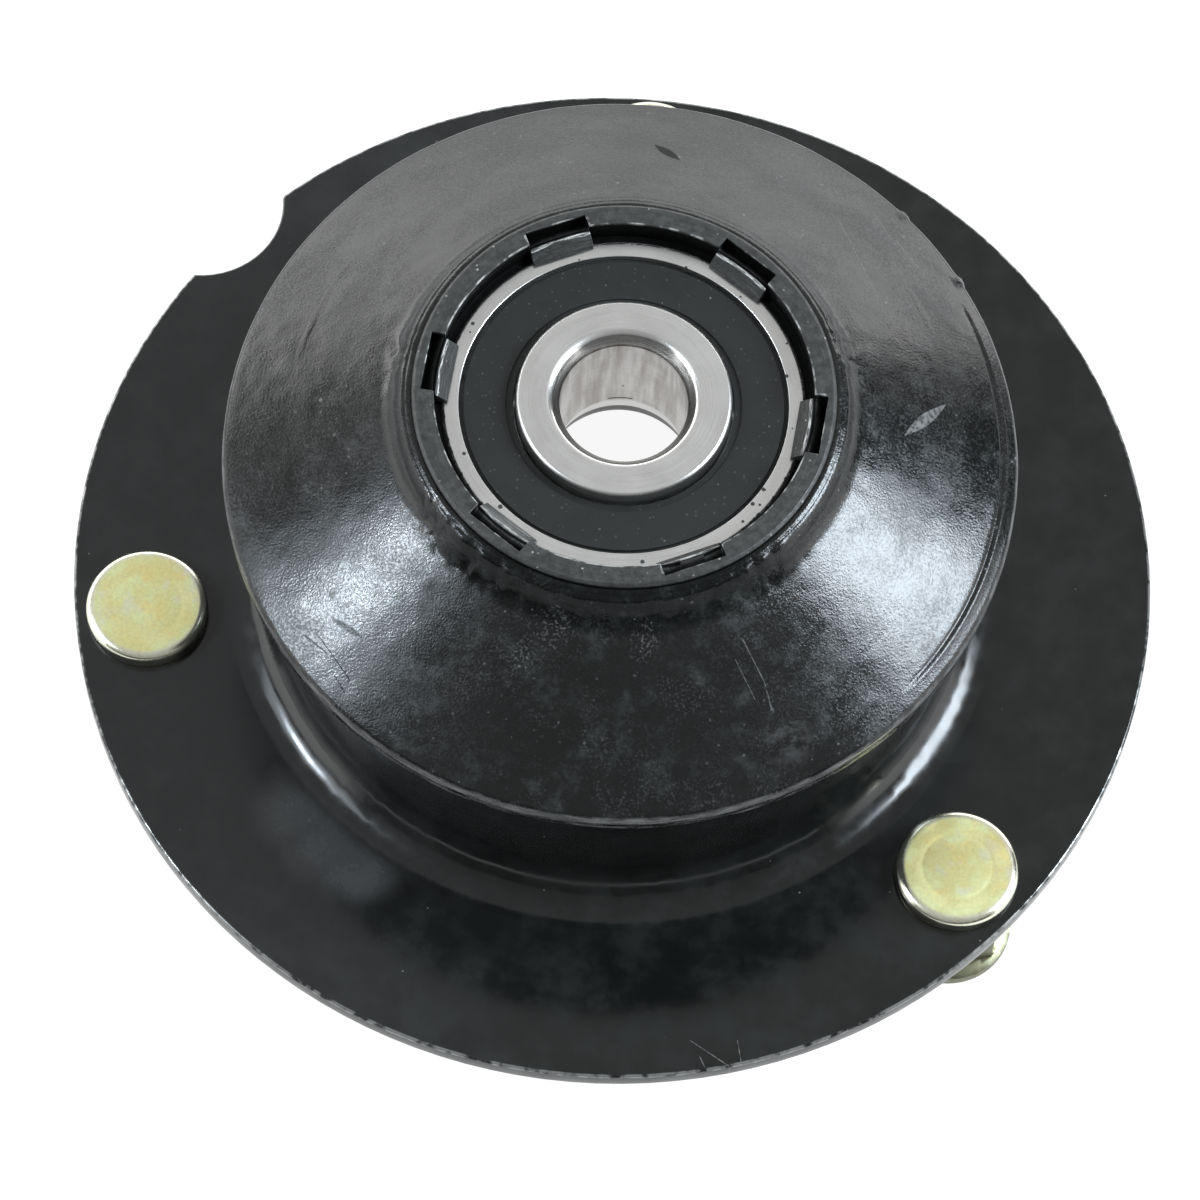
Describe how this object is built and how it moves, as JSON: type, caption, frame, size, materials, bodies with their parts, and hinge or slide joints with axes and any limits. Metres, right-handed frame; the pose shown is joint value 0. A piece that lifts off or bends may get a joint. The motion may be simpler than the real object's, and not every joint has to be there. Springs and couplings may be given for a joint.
{
  "type": "strut mount",
  "caption": "Upper suspension strut mount: pressed steel plate with studs, bonded rubber cone and a staked sealed ball bearing that carries the strut rod.",
  "frame": {"origin": "bearing axis at the level of the stud tips, on which the mount stands with its strut side up", "axes": "+Z along the bearing axis towards the strut; the rim notch points 139 degrees from +X towards +Y; the picture was taken from -Y"},
  "size_m": [0.1246, 0.1246, 0.0705],
  "materials": {
    "plate_paint": "satin black coating",
    "cone_rubber": "glossy moulded rubber, dusty and scratched",
    "housing_paint": "matt black coating, bare at the sheared stakes",
    "ground_steel": "ground",
    "seal_rubber": "matt",
    "yellow_zinc": "yellow zinc plating",
    "cage_steel": "stamped",
    "ball_steel": "polished"
  },
  "bodies": {
    "mount_body": {"mounting_plate": "plate_paint", "stud_1": "yellow_zinc", "stud_2": "yellow_zinc", "stud_3": "yellow_zinc", "nut_1": "yellow_zinc", "nut_2": "yellow_zinc", "nut_3": "yellow_zinc", "rubber_isolator": "cone_rubber", "bearing_housing": "housing_paint", "bearing_outer_ring": "ground_steel", "upper_seal": "seal_rubber", "lower_seal": "seal_rubber"},
    "inner_ring": {"bearing_inner_ring": "ground_steel"},
    "cage": {"cage_upper_half": "cage_steel", "cage_lower_half": "cage_steel", "cage_rivets": "cage_steel"},
    "ball_1": {"ball_1": "ball_steel"},
    "ball_2": {"ball_2": "ball_steel"},
    "ball_3": {"ball_3": "ball_steel"},
    "ball_4": {"ball_4": "ball_steel"},
    "ball_5": {"ball_5": "ball_steel"},
    "ball_6": {"ball_6": "ball_steel"},
    "ball_7": {"ball_7": "ball_steel"},
    "ball_8": {"ball_8": "ball_steel"}
  },
  "joints": [
    {"name": "inner_ring_spin", "type": "hinge", "parent": "mount_body", "child": "inner_ring", "pos_m": [0, 0, 0.0619], "axis": [0, 0, 1], "continuous": true},
    {"name": "cage_orbit", "type": "hinge", "parent": "mount_body", "child": "cage", "pos_m": [0, 0, 0.0619], "axis": [0, 0, 1], "continuous": true},
    {"name": "ball_1_spin", "type": "hinge", "parent": "cage", "child": "ball_1", "pos_m": [0.0149, 0, 0.0619], "axis": [0, 0, 1], "continuous": true},
    {"name": "ball_2_spin", "type": "hinge", "parent": "cage", "child": "ball_2", "pos_m": [0.01054, 0.01054, 0.0619], "axis": [0, 0, 1], "continuous": true},
    {"name": "ball_3_spin", "type": "hinge", "parent": "cage", "child": "ball_3", "pos_m": [0, 0.0149, 0.0619], "axis": [0, 0, 1], "continuous": true},
    {"name": "ball_4_spin", "type": "hinge", "parent": "cage", "child": "ball_4", "pos_m": [-0.01054, 0.01054, 0.0619], "axis": [0, 0, 1], "continuous": true},
    {"name": "ball_5_spin", "type": "hinge", "parent": "cage", "child": "ball_5", "pos_m": [-0.0149, 0, 0.0619], "axis": [0, 0, 1], "continuous": true},
    {"name": "ball_6_spin", "type": "hinge", "parent": "cage", "child": "ball_6", "pos_m": [-0.01054, -0.01054, 0.0619], "axis": [0, 0, 1], "continuous": true},
    {"name": "ball_7_spin", "type": "hinge", "parent": "cage", "child": "ball_7", "pos_m": [0, -0.0149, 0.0619], "axis": [0, 0, 1], "continuous": true},
    {"name": "ball_8_spin", "type": "hinge", "parent": "cage", "child": "ball_8", "pos_m": [0.01054, -0.01054, 0.0619], "axis": [0, 0, 1], "continuous": true}
  ],
  "couplings": [
    {"joint": "cage_orbit", "follows": "inner_ring_spin", "ratio": 0.3868},
    {"joint": "ball_1_spin", "follows": "inner_ring_spin", "ratio": -2.0952},
    {"joint": "ball_2_spin", "follows": "inner_ring_spin", "ratio": -2.0952},
    {"joint": "ball_3_spin", "follows": "inner_ring_spin", "ratio": -2.0952},
    {"joint": "ball_4_spin", "follows": "inner_ring_spin", "ratio": -2.0952},
    {"joint": "ball_5_spin", "follows": "inner_ring_spin", "ratio": -2.0952},
    {"joint": "ball_6_spin", "follows": "inner_ring_spin", "ratio": -2.0952},
    {"joint": "ball_7_spin", "follows": "inner_ring_spin", "ratio": -2.0952},
    {"joint": "ball_8_spin", "follows": "inner_ring_spin", "ratio": -2.0952}
  ]
}
